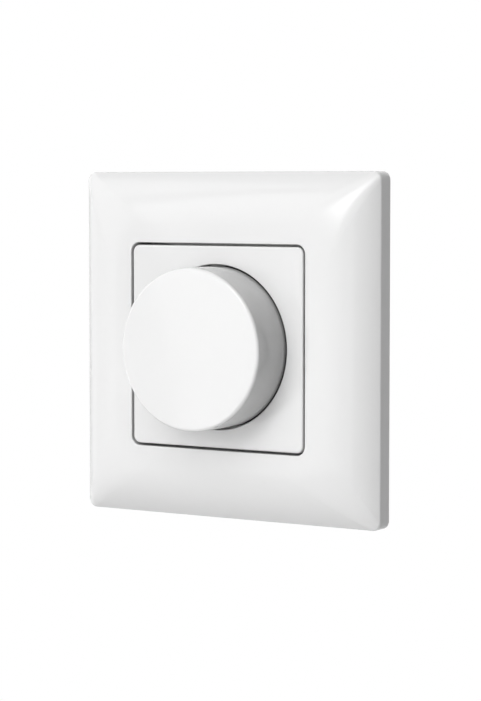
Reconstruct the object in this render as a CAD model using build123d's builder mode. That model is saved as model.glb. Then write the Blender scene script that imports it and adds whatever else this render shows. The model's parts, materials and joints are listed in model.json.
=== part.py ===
from build123d import *
import os
from math import atan, cos, radians, sin, sqrt, tan

os.makedirs("parts", exist_ok=True)

# Millimetres. The wall is the plane Y = 0, the knob axis is Y and the front faces -Y.
# A level is a height in front of the wall, so levels inside the wall box are negative.

# Cover frame
frame_size = 86.0
frame_corner = 2.1
frame_edge = 4.2
frame_height = 10.3
frame_edge_round = 0.7
frame_wall = 1.8
least_corner = 0.8
land_size = 60.0
land_corner = 11.0
dome_steps = 6
frame_rib = 1.2
frame_rib_spread = 36.0
ledge_thickness = 1.6
ledge_width = 2.3
collar_wall = 1.4
opening_edge_round = 0.25

# Centre plate
plate_size = 49.7
plate_corner = 1.8
plate_gap = 0.6
plate_thickness = 1.9
plate_skirt = 1.4
plate_edge_round = 0.5
plate_drop = 0.05
well_gap = 0.4
well_depth = 4.9
well_wall = 1.2
well_floor = 1.6
well_edge_round = 0.2

# Knob
knob_diameter = 39.9
knob_proud = 12.1
knob_dip = 1.8
knob_draft = 0.5
knob_edge_round = 0.8
knob_wall = 1.8
knob_face = 2.2
hub_diameter = 10.6
hub_clearance = 0.4
rib_count = 6
rib_thickness = 1.0
rib_depth = 6.0
clip_thickness = 0.5
clip_inset = 0.6
clip_opening = 3.0

# Movement and fits
press_travel = 1.2
turn_range = 270.0
running_fit = 0.05
easy_fit = 0.2
screw_end_gap = 0.4
turned_chamfer = 0.4
moulded_chamfer = 0.4

# Mounting strap
strap_thickness = 1.0
strap_edge = 5.5
strap_corner = 6.0
screw_pitch = 60.0
screw_slot_width = 3.6
screw_slot_length = 6.4
strap_notch = 3.0
strap_notch_spread = 35.5
strap_screw_spread = 32.0
strap_screw_diameter = 2.5
strap_screw_head = 4.8
strap_screw_head_height = 1.4
strap_screw_chamfer = 0.55
strap_screw_cross = 2.6
strap_screw_length = 6.0
strap_post_radius = 2.5

# Potentiometer
shaft_diameter = 6.0
shaft_flat = 1.4
shaft_end_gap = 0.4
shaft_collar = 7.8
shaft_collar_thickness = 0.8
shaft_tail = 3.4
bush_diameter = 9.8
bush_above_floor = 3.2
nut_across_flats = 14.0
nut_thickness = 2.5
nut_chamfer = 0.3
pot_size = 15.0
pot_corner = 1.5
pot_flange = 1.2
pot_room = 4.8
pot_floor = 1.0
pot_bore = 13.2
rotor_diameter = 10.0
rotor_thickness = 2.4
rotor_play = 0.15
lug_angle = 45.0
lug_root = 0.5
stop_gap = 0.3
stop_play = 1.0
track_thickness = 0.6
track_inner = 8.6
track_end_angle = 4.0
wiper_thickness = 0.3
wiper_width = 0.8
wiper_inset = 0.1
finger_length = 2.4
finger_flat = 0.3
finger_root = 0.4
pin_size = 0.7
pin_reach = 1.0
pin_angles = (-125.0, -55.0, 90.0)

# Front cover and rear housing
cover_wall = 2.0
casing_wall = 1.6
housing_edge_round = 0.8
boss_diameter = 17.0
lap_depth = 1.5
post_radius = 3.0
post_gap = 0.3
post_angle = 45.0
component_room = 13.5
driver_hole = 4.2
vent_width = 1.6
vent_length = 9.0
vent_pitch = 3.6
vent_count = 5
vent_rise = 9.0
housing_screw_diameter = 2.2
housing_screw_head = 3.8
housing_screw_head_height = 1.6
housing_screw_cross = 2.1
housing_screw_grip = 4.5
screw_seat = 1.8
cross_depth = 0.8
cross_width = 0.7

# Circuit board and its leads
board_thickness = 1.6
board_gap = 0.5
lead_diameter = 0.8

# Push switch
switch_depth = 11.0
switch_height = 9.0
switch_wall = 1.1
plunger_diameter = 4.4
plunger_collar = 6.6
plunger_collar_thickness = 1.2
plunger_stem = 2.6
plunger_stem_gap = 0.3
bridge_length = 8.0
bridge_width = 3.4
bridge_thickness = 0.5
contact_thickness = 0.5
contact_width = 2.4
contact_foot = 2.0
contact_gap = 0.1
spring_wire = 0.45
spring_wire_sides = 8
spring_turns = 3.5
spring_diameter = 4.6

# Triac
triac_width = 10.0
triac_body = 8.6
triac_tab = 5.4
triac_thickness = 4.4
tab_thickness = 1.3
triac_lead_pitch = 2.54
triac_lead = 0.8
triac_lead_gap = 1.3
triac_lead_depth = 2.6
triac_end_gap = 0.6
pad_thickness = 0.3
pad_margin = 0.2
rivet_diameter = 3.0
rivet_head = 4.4
rivet_head_height = 0.8
rivet_chamfer = 0.4

# Choke, capacitors, diode and fuse
part_gap = 0.8
choke_diameter = 12.5
choke_hole = 6.0
choke_height = 6.0
choke_chamfer = 0.3
winding_turns = 12
winding_wire = 0.7
film_length = 13.0
film_width = 6.4
film_height = 11.0
film_corner = 0.6
film_chamfer = 0.3
film_lead_pitch = 10.0
timing_length = 7.0
timing_width = 3.0
timing_height = 6.5
timing_corner = 0.8
timing_lead_pitch = 5.0
diode_diameter = 2.0
diode_length = 4.2
diode_lead_pitch = 8.4
fuse_diameter = 4.6
fuse_length = 14.0
fuse_cap = 3.2
fuse_cap_step = 0.2
fuse_lead_pitch = 10.6
fuse_stand_off = 0.8

# Terminals
pole_count = 3
pole_pitch = 6.2
block_depth = 9.0
block_height = 12.0
block_end_gap = 0.4
cage_width = 4.4
cage_height = 6.6
cage_wall = 0.7
cage_length = 5.6
cage_rise = 2.0
cage_inset = 0.4
entry_size = 3.4
entry_rise = 0.8
clamp_diameter = 2.5
clamp_head = 3.6
clamp_head_height = 2.0
clamp_neck = 0.5
clamp_reach = 1.4

# Levels that follow from the sizes above
plate_front = frame_height - plate_drop
ledge_top = strap_thickness + ledge_thickness
well_top = plate_front - well_depth
boss_top = well_top - well_floor
bush_top = well_top + bush_above_floor
knob_front = plate_front + knob_proud
knob_rear = plate_front - knob_dip
knob_ceiling = knob_front - knob_face
hub_rear = bush_top + press_travel + hub_clearance
shaft_top = knob_ceiling - shaft_end_gap
flange_front = -cover_wall
flange_rear = flange_front - pot_flange
pot_floor_top = flange_rear - pot_room
board_front = pot_floor_top - pot_floor
board_rear = board_front - board_thickness
rotor_front = flange_rear - rotor_play
rotor_rear = rotor_front - rotor_thickness
track_top = pot_floor_top + track_thickness
switch_rear = board_rear - switch_height
plunger_front = board_rear - switch_wall / 2
collar_front = board_rear - switch_wall
collar_rear = collar_front - plunger_collar_thickness
bridge_rear = collar_rear - bridge_thickness
contact_top = bridge_rear - press_travel - contact_gap
base_top = switch_rear + switch_wall
housing_floor = board_rear - component_room
housing_rear = housing_floor - casing_wall

# Positions across the wall that follow from the sizes above
strap_size = screw_pitch + 2 * strap_edge
opening_size = plate_size + 2 * plate_gap
knob_radius = knob_diameter / 2
well_radius = knob_radius + well_gap
triac_start = pot_size / 2 + triac_lead_gap
triac_length = triac_body + triac_tab
triac_end = triac_start + triac_length
rivet_z = triac_end - triac_tab / 2
pad_width = triac_width + 2 * pad_margin
casing_inner = sqrt((triac_end + triac_end_gap) ** 2 + (triac_width / 2) ** 2)
casing_outer = casing_inner + casing_wall
block_front = -(switch_depth / 2 + part_gap + block_depth)
flat_inner = block_end_gap - block_front
flat_outer = flat_inner + casing_wall
board_radius = casing_inner - board_gap
post_reach = casing_inner - post_radius - post_gap
post_x = post_reach * cos(radians(post_angle))
post_z = post_reach * sin(radians(post_angle))
lap_radius = casing_inner + casing_wall / 2
lap_flat = flat_inner + casing_wall / 2
stop_angle = 360 - turn_range - lug_angle - stop_play
post_low = -(flat_inner - post_radius - post_gap)
posts = [(post_x, post_z), (-post_x, post_z), (post_x, post_low), (-post_x, post_low)]
strap_screws_at = [(strap_screw_spread / 2, 0), (-strap_screw_spread / 2, 0)]
contact_leg_x = bridge_length / 2 + easy_fit + contact_thickness / 2
contact_foot_x = contact_leg_x + contact_thickness / 2 - contact_foot / 2
switch_cavity = 2 * contact_leg_x + contact_thickness + easy_fit
switch_width = switch_cavity + 2 * switch_wall
choke_x = -(switch_width / 2 + part_gap + winding_wire + choke_diameter / 2)
film_x = switch_width / 2 + part_gap + film_width / 2
film_z = block_front + block_depth + part_gap + film_length / 2
fuse_x = film_x + film_width / 2 + part_gap + fuse_diameter / 2
timing_z = triac_start + part_gap / 2 + timing_width / 2
diode_z = timing_z + timing_width / 2 + part_gap + diode_diameter / 2
pole_x = [pole_pitch * (i - (pole_count - 1) / 2) for i in range(pole_count)]
block_width = pole_pitch * pole_count
cage_level = board_rear - cage_rise - cage_height / 2
cage_z = block_front + cage_length / 2 + cage_inset
clamp_z = cage_z
pin_ring = (pot_bore + track_inner) / 4
pins_at = [(pin_ring * cos(radians(a)), pin_ring * sin(radians(a))) for a in pin_angles]
film_leads = [(film_x, film_z + side * film_lead_pitch / 2) for side in (1, -1)]
timing_leads = [(side * timing_lead_pitch / 2, timing_z) for side in (-1, 1)]
diode_leads = [(side * diode_lead_pitch / 2, diode_z) for side in (-1, 1)]
fuse_leads = [(fuse_x, side * fuse_lead_pitch / 2) for side in (1, -1)]
choke_leads = [(choke_x, side * (choke_diameter + winding_wire) / 2) for side in (1, -1)]
triac_leads = [(i * triac_lead_pitch, triac_start - triac_lead / 2) for i in (-1, 0, 1)]

# How far from a level or a line an edge may lie and still be picked, and how far a cut runs past its face
pick_margin = 0.01
overcut = 1.0

knob_axis = Axis((0, 0, 0), (0, -1, 0))
turning = Plane(origin=(0, 0, 0), x_dir=(1, 0, 0), z_dir=(0, 0, -1))


def level(height):
    return Plane.XZ.offset(height)


def bar(bottom, top, mode=Mode.ADD):
    # Extrudes the sketch just drawn on level(bottom) up to another level.
    extrude(amount=top - bottom, mode=mode)


def edges_at(piece, height):
    # The edges of a piece that lie on one level.
    return piece.edges().filter_by_position(Axis.Y, -height - pick_margin, -height + pick_margin)


def d_outline(radius, flat):
    # A round section with one flat, cut by depth flat from the top.
    Circle(radius)
    with Locations((0, 2 * radius - flat)):
        Rectangle(2 * radius, 2 * radius, mode=Mode.SUBTRACT)


def casing_outline(radius, flat):
    # The round casing section with the straight wiring side below.
    Circle(radius)
    with Locations((0, -flat - radius)):
        Rectangle(2 * radius, 2 * radius, mode=Mode.SUBTRACT)


def sector(inner, outer, middle, width):
    # A piece of a flat ring, width degrees wide about the direction middle.
    start = middle - width / 2
    with BuildLine() as outline:
        far = CenterArc((0, 0), outer, start, width)
        near = CenterArc((0, 0), inner, start, width)
        Line(far @ 0, near @ 0)
        Line(far @ 1, near @ 1)
    make_face(outline.edges())


def dome(half, top, edge, land, corner, top_corner):
    # Sections of the pillowed front from its edge up to the flat land, along one arc.
    run = half - land
    bend = 2 * atan((top - edge) / run)
    radius = run / sin(bend)
    sections = []
    for step in range(dome_steps + 1):
        turn = bend * (1 - step / dome_steps)
        reach = radius * sin(turn)
        rounding = top_corner + (corner - top_corner) * reach / run
        sections.append((land + reach, top - radius * (1 - cos(turn)), rounding))
    return sections


# Cover frame: the space inside its shell, with the collar and the ribs left standing
inner_half = frame_size / 2 - frame_wall
collar_size = opening_size + 2 * collar_wall
inner_corner = max(frame_corner - frame_wall, least_corner)
inner_edge = frame_edge - frame_wall / 2
inner_height = frame_height - frame_wall
with BuildPart() as frame_hollow:
    with BuildSketch(level(0)):
        RectangleRounded(2 * inner_half, 2 * inner_half, inner_corner)
    bar(0, inner_edge)
    for half, height, rounding in dome(
        inner_half, inner_height, inner_edge, land_size / 2, inner_corner, land_corner
    ):
        with BuildSketch(level(height)):
            RectangleRounded(2 * half, 2 * half, rounding)
    loft()
    with BuildSketch(level(0)):
        RectangleRounded(collar_size, collar_size, plate_corner + plate_gap + collar_wall)
        for side in (-1, 1):
            with Locations((0, side * frame_rib_spread / 2)):
                Rectangle(frame_size, frame_rib)
            with Locations((side * frame_rib_spread / 2, 0)):
                Rectangle(frame_rib, frame_size)
    bar(0, frame_height, Mode.SUBTRACT)

with BuildPart() as cover_frame:
    with BuildSketch(level(0)):
        RectangleRounded(frame_size, frame_size, frame_corner)
    bar(0, frame_edge)
    for half, height, rounding in dome(
        frame_size / 2, frame_height, frame_edge, land_size / 2, frame_corner, land_corner
    ):
        with BuildSketch(level(height)):
            RectangleRounded(2 * half, 2 * half, rounding)
    loft()
    fillet(edges_at(cover_frame, frame_edge), frame_edge_round)
    add(frame_hollow.part, mode=Mode.SUBTRACT)
    with BuildSketch(level(ledge_top)):
        RectangleRounded(opening_size, opening_size, plate_corner + plate_gap)
    bar(ledge_top, frame_height + overcut, Mode.SUBTRACT)
    lip = edges_at(cover_frame, frame_height)
    inside = opening_size / 2 + pick_margin
    lip = [e for e in lip if max(abs(e.center().X), abs(e.center().Z)) < inside]
    fillet(lip, opening_edge_round)
    with BuildSketch(level(0)):
        RectangleRounded(opening_size - 2 * ledge_width, opening_size - 2 * ledge_width, plate_corner)
    bar(0, ledge_top, Mode.SUBTRACT)
    with BuildSketch(level(0)):
        Rectangle(strap_size + 2 * easy_fit, strap_size + 2 * easy_fit)
    bar(0, strap_thickness, Mode.SUBTRACT)
    with BuildSketch(level(strap_thickness)):
        with Locations((0, rivet_z)):
            Circle(rivet_head / 2 + easy_fit)
    bar(strap_thickness, strap_thickness + rivet_head_height + easy_fit, Mode.SUBTRACT)
cover_frame.part.label = "cover_frame"
export_step(cover_frame.part, "parts/cover_frame.step")

# Centre plate: face and skirt on the frame's ledge, with a round well for the knob
skirt_inside = plate_size - 2 * plate_skirt
with BuildPart() as centre_plate:
    with BuildSketch(level(ledge_top)):
        RectangleRounded(plate_size, plate_size, plate_corner)
    bar(ledge_top, plate_front)
    fillet(edges_at(centre_plate, plate_front), plate_edge_round)
    with BuildSketch(level(ledge_top)):
        RectangleRounded(skirt_inside, skirt_inside, plate_corner / 2)
        Circle(well_radius + well_wall, mode=Mode.SUBTRACT)
    bar(ledge_top, plate_front - plate_thickness, Mode.SUBTRACT)
    with BuildSketch(level(ledge_top)):
        Circle(well_radius + well_wall)
    bar(ledge_top, boss_top, Mode.SUBTRACT)
    with BuildSketch(level(well_top)):
        Circle(well_radius)
    bar(well_top, plate_front, Mode.SUBTRACT)
    well_rim = edges_at(centre_plate, plate_front).filter_by(GeomType.CIRCLE).sort_by(SortBy.RADIUS)[-1]
    fillet(well_rim, well_edge_round)
    with BuildSketch(level(boss_top)):
        Circle(bush_diameter / 2 + easy_fit)
    bar(boss_top, well_top, Mode.SUBTRACT)
centre_plate.part.label = "centre_plate"
export_step(centre_plate.part, "parts/centre_plate.step")

# Knob: a hollow drum with a hub that takes the flatted shaft
knob_taper = (knob_front - knob_rear) * tan(radians(knob_draft))
knob_front_radius = knob_radius - knob_taper
rib_rear = knob_ceiling - rib_depth
rib_length = knob_radius - knob_wall
with BuildPart() as knob:
    with BuildSketch(turning):
        with BuildLine():
            Polyline(
                (0, knob_front),
                (knob_front_radius, knob_front),
                (knob_radius, knob_rear),
                (knob_radius - knob_wall, knob_rear),
                (knob_front_radius - knob_wall, knob_ceiling),
                (0, knob_ceiling),
                close=True,
            )
        make_face()
    revolve(axis=knob_axis)
    fillet(edges_at(knob, knob_front), knob_edge_round)
    with BuildSketch(level(rib_rear)):
        with PolarLocations(0, rib_count):
            with Locations((rib_length / 2, 0)):
                Rectangle(rib_length, rib_thickness)
    bar(rib_rear, knob_ceiling)
    with BuildSketch(level(hub_rear)):
        Circle(hub_diameter / 2)
    bar(hub_rear, knob_ceiling)
    with BuildSketch(level(hub_rear)):
        d_outline(shaft_diameter / 2 + running_fit, shaft_flat)
    bar(hub_rear, shaft_top + easy_fit, Mode.SUBTRACT)
knob.part.label = "knob"
export_step(knob.part, "parts/knob.step")

# Spring clip: an open band that grips the end of the knob hub
clip_inner = hub_diameter / 2 + running_fit
clip_rear = hub_rear + clip_inset
with BuildPart() as knob_clip:
    with BuildSketch(level(clip_rear)):
        Circle(clip_inner + clip_thickness)
        Circle(clip_inner, mode=Mode.SUBTRACT)
        with Locations((0, -clip_inner)):
            Rectangle(clip_opening, hub_diameter / 2, mode=Mode.SUBTRACT)
    bar(clip_rear, rib_rear - easy_fit)
knob_clip.part.label = "knob_clip"
export_step(knob_clip.part, "parts/knob_clip.step")

# Plate nut: clamps the centre plate on the threaded bush
with BuildPart() as plate_nut:
    with BuildSketch(level(well_top)):
        RegularPolygon(nut_across_flats / 2, 6, major_radius=False)
        Circle(bush_diameter / 2 + running_fit, mode=Mode.SUBTRACT)
    bar(well_top, well_top + nut_thickness)
    chamfer(edges_at(plate_nut, well_top + nut_thickness).filter_by(GeomType.LINE), nut_chamfer)
plate_nut.part.label = "plate_nut"
export_step(plate_nut.part, "parts/plate_nut.step")

# Mounting strap: a square steel plate with slots for the box screws
with BuildPart() as mounting_strap:
    with BuildSketch(level(0)) as strap_outline:
        Rectangle(strap_size, strap_size)
        chamfer(strap_outline.vertices(), strap_corner)
        Circle(boss_diameter / 2 + easy_fit, mode=Mode.SUBTRACT)
        for side in (-1, 1):
            with Locations((side * screw_pitch / 2, 0)):
                SlotOverall(screw_slot_length, screw_slot_width, mode=Mode.SUBTRACT)
            with Locations((0, side * screw_pitch / 2)):
                SlotOverall(screw_slot_length, screw_slot_width, rotation=90, mode=Mode.SUBTRACT)
            edge = side * strap_size / 2
            for along in (-strap_notch_spread / 2, strap_notch_spread / 2):
                with Locations((edge, along), (along, edge)):
                    Rectangle(strap_notch, strap_notch, mode=Mode.SUBTRACT)
        with Locations(*strap_screws_at):
            Circle(strap_screw_diameter / 2 + easy_fit, mode=Mode.SUBTRACT)
        with Locations((0, rivet_z)):
            Circle(rivet_diameter / 2 + running_fit, mode=Mode.SUBTRACT)
    bar(0, strap_thickness)
mounting_strap.part.label = "mounting_strap"
export_step(mounting_strap.part, "parts/mounting_strap.step")

# Strap screws: pan heads on the strap, threaded into the front cover
with BuildPart() as strap_screws:
    with BuildSketch(level(strap_thickness - strap_screw_length)):
        with Locations(*strap_screws_at):
            Circle(strap_screw_diameter / 2)
    bar(strap_thickness - strap_screw_length, strap_thickness)
    with BuildSketch(level(strap_thickness)):
        with Locations(*strap_screws_at):
            Circle(strap_screw_head / 2)
    bar(strap_thickness, strap_thickness + strap_screw_head_height)
    heads = strap_screws.edges().filter_by(GeomType.CIRCLE).group_by(Axis.Y)[0]
    chamfer(heads, strap_screw_chamfer)
    with BuildSketch(level(strap_thickness + strap_screw_head_height)):
        with Locations(*strap_screws_at):
            Rectangle(strap_screw_cross, cross_width)
            Rectangle(cross_width, strap_screw_cross)
    extrude(amount=-cross_depth, mode=Mode.SUBTRACT)
strap_screws.part.label = "strap_screws"
export_step(strap_screws.part, "parts/strap_screws.step")

# Front cover: cap of the casing, with the boss that carries the centre plate
strap_post_rear = strap_thickness - strap_screw_length - screw_end_gap
with BuildPart() as front_cover:
    with BuildSketch(level(board_front)):
        casing_outline(lap_radius - running_fit, lap_flat - running_fit)
    bar(board_front, board_front + lap_depth)
    with BuildSketch(level(board_front + lap_depth)):
        casing_outline(casing_outer, flat_outer)
    bar(board_front + lap_depth, 0)
    with BuildSketch(level(board_front)):
        casing_outline(casing_inner, flat_inner)
    bar(board_front, -cover_wall, Mode.SUBTRACT)
    with BuildSketch(level(0)):
        Circle(boss_diameter / 2)
    bar(0, boss_top)
    with BuildSketch(level(board_front)):
        with Locations(*posts):
            Circle(post_radius)
    bar(board_front, -cover_wall)
    with BuildSketch(level(strap_post_rear)):
        with Locations(*strap_screws_at):
            Circle(strap_post_radius)
    bar(strap_post_rear, -cover_wall)
    with BuildSketch(level(strap_post_rear)):
        with Locations(*strap_screws_at):
            Circle(strap_screw_diameter / 2 + running_fit)
    bar(strap_post_rear, 0, Mode.SUBTRACT)
    with BuildSketch(level(board_front)):
        with Locations(*posts):
            Circle(housing_screw_diameter / 2 + running_fit)
    bar(board_front, board_front + housing_screw_grip + screw_end_gap, Mode.SUBTRACT)
    with BuildSketch(level(-cover_wall)):
        Circle(bush_diameter / 2 + running_fit)
    bar(-cover_wall, boss_top, Mode.SUBTRACT)
    with BuildSketch(level(-cover_wall)):
        with Locations((0, triac_start + triac_length / 2)):
            Rectangle(pad_width + 2 * easy_fit, triac_length + 2 * easy_fit)
    bar(-cover_wall, 0, Mode.SUBTRACT)
front_cover.part.label = "front_cover"
export_step(front_cover.part, "parts/front_cover.step")

# Rear housing: the cup that goes into the wall box
entry_level = cage_level + entry_rise
with BuildPart() as rear_housing:
    with BuildSketch(level(housing_rear)):
        casing_outline(casing_outer, flat_outer)
    bar(housing_rear, board_front + lap_depth)
    fillet(edges_at(rear_housing, housing_rear), housing_edge_round)
    with BuildSketch(level(housing_floor)):
        casing_outline(casing_inner, flat_inner)
    bar(housing_floor, board_front + lap_depth, Mode.SUBTRACT)
    with BuildSketch(level(board_front)):
        casing_outline(lap_radius, lap_flat)
    bar(board_front, board_front + lap_depth, Mode.SUBTRACT)
    with BuildSketch(level(housing_floor)):
        with Locations(*posts):
            Circle(post_radius)
    bar(housing_floor, board_rear)
    with BuildSketch(level(housing_rear)):
        with Locations(*posts):
            Circle(housing_screw_head / 2 + easy_fit)
    bar(housing_rear, board_rear - screw_seat, Mode.SUBTRACT)
    with BuildSketch(level(board_rear - screw_seat)):
        with Locations(*posts):
            Circle(housing_screw_diameter / 2 + easy_fit)
    bar(board_rear - screw_seat, board_rear, Mode.SUBTRACT)
    with BuildSketch(level(housing_rear)):
        with Locations(*[(x, clamp_z) for x in pole_x]):
            Circle(driver_hole / 2)
        with Locations((0, vent_rise)):
            with GridLocations(vent_pitch, 0, vent_count, 1):
                SlotOverall(vent_length, vent_width, rotation=90)
    bar(housing_rear, housing_floor, Mode.SUBTRACT)
    with Locations(*[(x, -entry_level, -flat_inner - casing_wall / 2) for x in pole_x]):
        Box(entry_size, entry_size, 2 * casing_wall, mode=Mode.SUBTRACT)
rear_housing.part.label = "rear_housing"
export_step(rear_housing.part, "parts/rear_housing.step")

# Housing screws: driven from the rear through the board into the front cover
seat_level = board_rear - screw_seat
with BuildPart() as housing_screws:
    with BuildSketch(level(seat_level)):
        with Locations(*posts):
            Circle(housing_screw_diameter / 2)
    bar(seat_level, board_front + housing_screw_grip)
    with BuildSketch(level(seat_level - housing_screw_head_height)):
        with Locations(*posts):
            Circle(housing_screw_head / 2)
    bar(seat_level - housing_screw_head_height, seat_level)
    with BuildSketch(level(seat_level - housing_screw_head_height)):
        with Locations(*posts):
            Rectangle(housing_screw_cross, cross_width)
            Rectangle(cross_width, housing_screw_cross)
    extrude(amount=cross_depth, mode=Mode.SUBTRACT)
housing_screws.part.label = "housing_screws"
export_step(housing_screws.part, "parts/housing_screws.step")

# Circuit board: drilled for the shaft, the screws and every lead
with BuildPart() as circuit_board:
    with BuildSketch(level(board_rear)):
        casing_outline(board_radius, flat_inner - board_gap)
        Circle(shaft_tail / 2 + easy_fit, mode=Mode.SUBTRACT)
        with Locations(*posts):
            Circle(housing_screw_diameter / 2 + easy_fit, mode=Mode.SUBTRACT)
        with Locations(*film_leads, *timing_leads, *diode_leads, *fuse_leads, *choke_leads):
            Circle(lead_diameter / 2 + easy_fit, mode=Mode.SUBTRACT)
        with Locations(*pins_at, *triac_leads):
            Circle(max(pin_size, triac_lead) / sqrt(2) + easy_fit, mode=Mode.SUBTRACT)
        with Locations((contact_leg_x, 0), (-contact_leg_x, 0)):
            Rectangle(contact_thickness + 2 * easy_fit, contact_width + 2 * easy_fit, mode=Mode.SUBTRACT)
    bar(board_rear, board_front)
circuit_board.part.label = "circuit_board"
export_step(circuit_board.part, "parts/circuit_board.step")

# Potentiometer bush: square flange with the threaded neck
with BuildPart() as pot_bush:
    with BuildSketch(level(flange_rear)):
        RectangleRounded(pot_size, pot_size, pot_corner)
    bar(flange_rear, flange_front)
    with BuildSketch(level(flange_front)):
        Circle(bush_diameter / 2)
    bar(flange_front, bush_top)
    chamfer(edges_at(pot_bush, bush_top), turned_chamfer)
    with BuildSketch(level(flange_rear)):
        Circle(shaft_diameter / 2 + running_fit)
    bar(flange_rear, bush_top, Mode.SUBTRACT)
pot_bush.part.label = "pot_bush"
export_step(pot_bush.part, "parts/pot_bush.step")

# Potentiometer case: cup with the stop that ends the turn
with BuildPart() as pot_case:
    with BuildSketch(level(board_front)):
        RectangleRounded(pot_size, pot_size, pot_corner)
    bar(board_front, flange_rear)
    with BuildSketch(level(pot_floor_top)):
        Circle(pot_bore / 2)
    bar(pot_floor_top, flange_rear, Mode.SUBTRACT)
    with BuildSketch(level(pot_floor_top)):
        sector(rotor_diameter / 2 + stop_gap, pot_bore / 2 + easy_fit, -90, stop_angle)
    bar(pot_floor_top, flange_rear)
    with BuildSketch(level(board_front)):
        Circle(shaft_tail / 2 + easy_fit)
        with Locations(*pins_at):
            Rectangle(pin_size + 2 * running_fit, pin_size + 2 * running_fit)
    bar(board_front, pot_floor_top, Mode.SUBTRACT)
pot_case.part.label = "pot_case"
export_step(pot_case.part, "parts/pot_case.step")

# Resistance track: an open ring on the case floor
with BuildPart() as pot_track:
    with BuildSketch(level(pot_floor_top)):
        sector(track_inner / 2, pot_bore / 2 - running_fit, 90, 360 - stop_angle - 2 * track_end_angle)
    bar(pot_floor_top, track_top)
pot_track.part.label = "pot_track"
export_step(pot_track.part, "parts/pot_track.step")

# Potentiometer pins: from the track through the board
with BuildPart() as pot_pins:
    with BuildSketch(level(board_rear + running_fit)):
        with Locations(*pins_at):
            Rectangle(pin_size, pin_size)
    bar(board_rear + running_fit, pot_floor_top)
pot_pins.part.label = "pot_pins"
export_step(pot_pins.part, "parts/pot_pins.step")

# Rotor: turned by the flatted shaft, with the lug that meets the stop
with BuildPart() as pot_rotor:
    with BuildSketch(level(rotor_rear)):
        Circle(rotor_diameter / 2)
    bar(rotor_rear, rotor_front)
    with BuildSketch(level(rotor_rear)):
        sector(rotor_diameter / 2 - lug_root, pot_bore / 2 - stop_gap, 90, lug_angle)
    bar(rotor_rear, rotor_front)
    with BuildSketch(level(rotor_rear)):
        d_outline(shaft_diameter / 2 + running_fit, shaft_flat)
    bar(rotor_rear, rotor_front, Mode.SUBTRACT)
pot_rotor.part.label = "pot_rotor"
export_step(pot_rotor.part, "parts/pot_rotor.step")

# Wiper: a spring ring under the rotor with two fingers on the track
wiper_outer = rotor_diameter / 2 - wiper_inset
wiper_rear = rotor_rear - wiper_thickness
finger_radius = wiper_outer - wiper_width / 2
finger_half = finger_length / 2
finger_tip = track_top + running_fit
with BuildPart() as pot_wiper:
    with BuildSketch(level(wiper_rear)):
        Circle(wiper_outer)
        Circle(wiper_outer - wiper_width, mode=Mode.SUBTRACT)
    bar(wiper_rear, rotor_rear)
    for angle in (0, 180):
        along = (-sin(radians(angle)), 0, cos(radians(angle)))
        outward = (cos(radians(angle)), 0, sin(radians(angle)))
        centre = (finger_radius * outward[0], 0, finger_radius * outward[2])
        with BuildSketch(Plane(origin=centre, x_dir=along, z_dir=outward)):
            with BuildLine():
                Polyline(
                    (-finger_half, rotor_rear),
                    (-finger_half, wiper_rear),
                    (finger_half - finger_flat, finger_tip),
                    (finger_half, finger_tip),
                    (finger_half, finger_tip + wiper_thickness),
                    (-finger_half + finger_root, rotor_rear),
                    close=True,
                )
            make_face()
        extrude(amount=wiper_width / 2, both=True)
pot_wiper.part.label = "pot_wiper"
export_step(pot_wiper.part, "parts/pot_wiper.step")

# Control shaft: flatted end for the knob, collar behind the rotor, tail to the push switch
collar_back = rotor_rear - shaft_collar_thickness
with BuildPart() as control_shaft:
    with BuildSketch(level(rotor_rear)):
        d_outline(shaft_diameter / 2, shaft_flat)
    bar(rotor_rear, shaft_top)
    chamfer(edges_at(control_shaft, shaft_top), turned_chamfer)
    with BuildSketch(level(collar_back)):
        Circle(shaft_collar / 2)
    bar(collar_back, rotor_rear)
    with BuildSketch(level(plunger_front)):
        Circle(shaft_tail / 2)
    bar(plunger_front, collar_back)
control_shaft.part.label = "control_shaft"
export_step(control_shaft.part, "parts/control_shaft.step")

# Push switch: case open at the rear, closed by its base
with BuildPart() as switch_case:
    with BuildSketch(level(base_top)):
        Rectangle(switch_width, switch_depth)
    bar(base_top, board_rear)
    with BuildSketch(level(base_top)):
        Rectangle(switch_cavity, switch_depth - 2 * switch_wall)
    bar(base_top, collar_front, Mode.SUBTRACT)
    with BuildSketch(level(collar_front)):
        Circle(plunger_diameter / 2 + easy_fit)
        with Locations((contact_leg_x, 0), (-contact_leg_x, 0)):
            Rectangle(contact_thickness + 2 * running_fit, contact_width + 2 * running_fit)
    bar(collar_front, board_rear, Mode.SUBTRACT)
switch_case.part.label = "switch_case"
export_step(switch_case.part, "parts/switch_case.step")

with BuildPart() as switch_base:
    with BuildSketch(level(switch_rear)):
        Rectangle(switch_width, switch_depth)
    bar(switch_rear, base_top)
    chamfer(edges_at(switch_base, switch_rear), moulded_chamfer)
switch_base.part.label = "switch_base"
export_step(switch_base.part, "parts/switch_base.step")

stem_rear = base_top + press_travel + plunger_stem_gap
with BuildPart() as switch_plunger:
    with BuildSketch(level(collar_front)):
        Circle(plunger_diameter / 2)
    bar(collar_front, plunger_front)
    with BuildSketch(level(collar_rear)):
        Circle(plunger_collar / 2)
    bar(collar_rear, collar_front)
    with BuildSketch(level(stem_rear)):
        Circle(plunger_stem / 2)
    bar(stem_rear, collar_rear)
switch_plunger.part.label = "switch_plunger"
export_step(switch_plunger.part, "parts/switch_plunger.step")

with BuildPart() as switch_bridge:
    with BuildSketch(level(bridge_rear)):
        SlotOverall(bridge_length, bridge_width)
        Circle(plunger_stem / 2 + running_fit, mode=Mode.SUBTRACT)
    bar(bridge_rear, collar_rear)
switch_bridge.part.label = "switch_bridge"
export_step(switch_bridge.part, "parts/switch_bridge.step")

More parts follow.
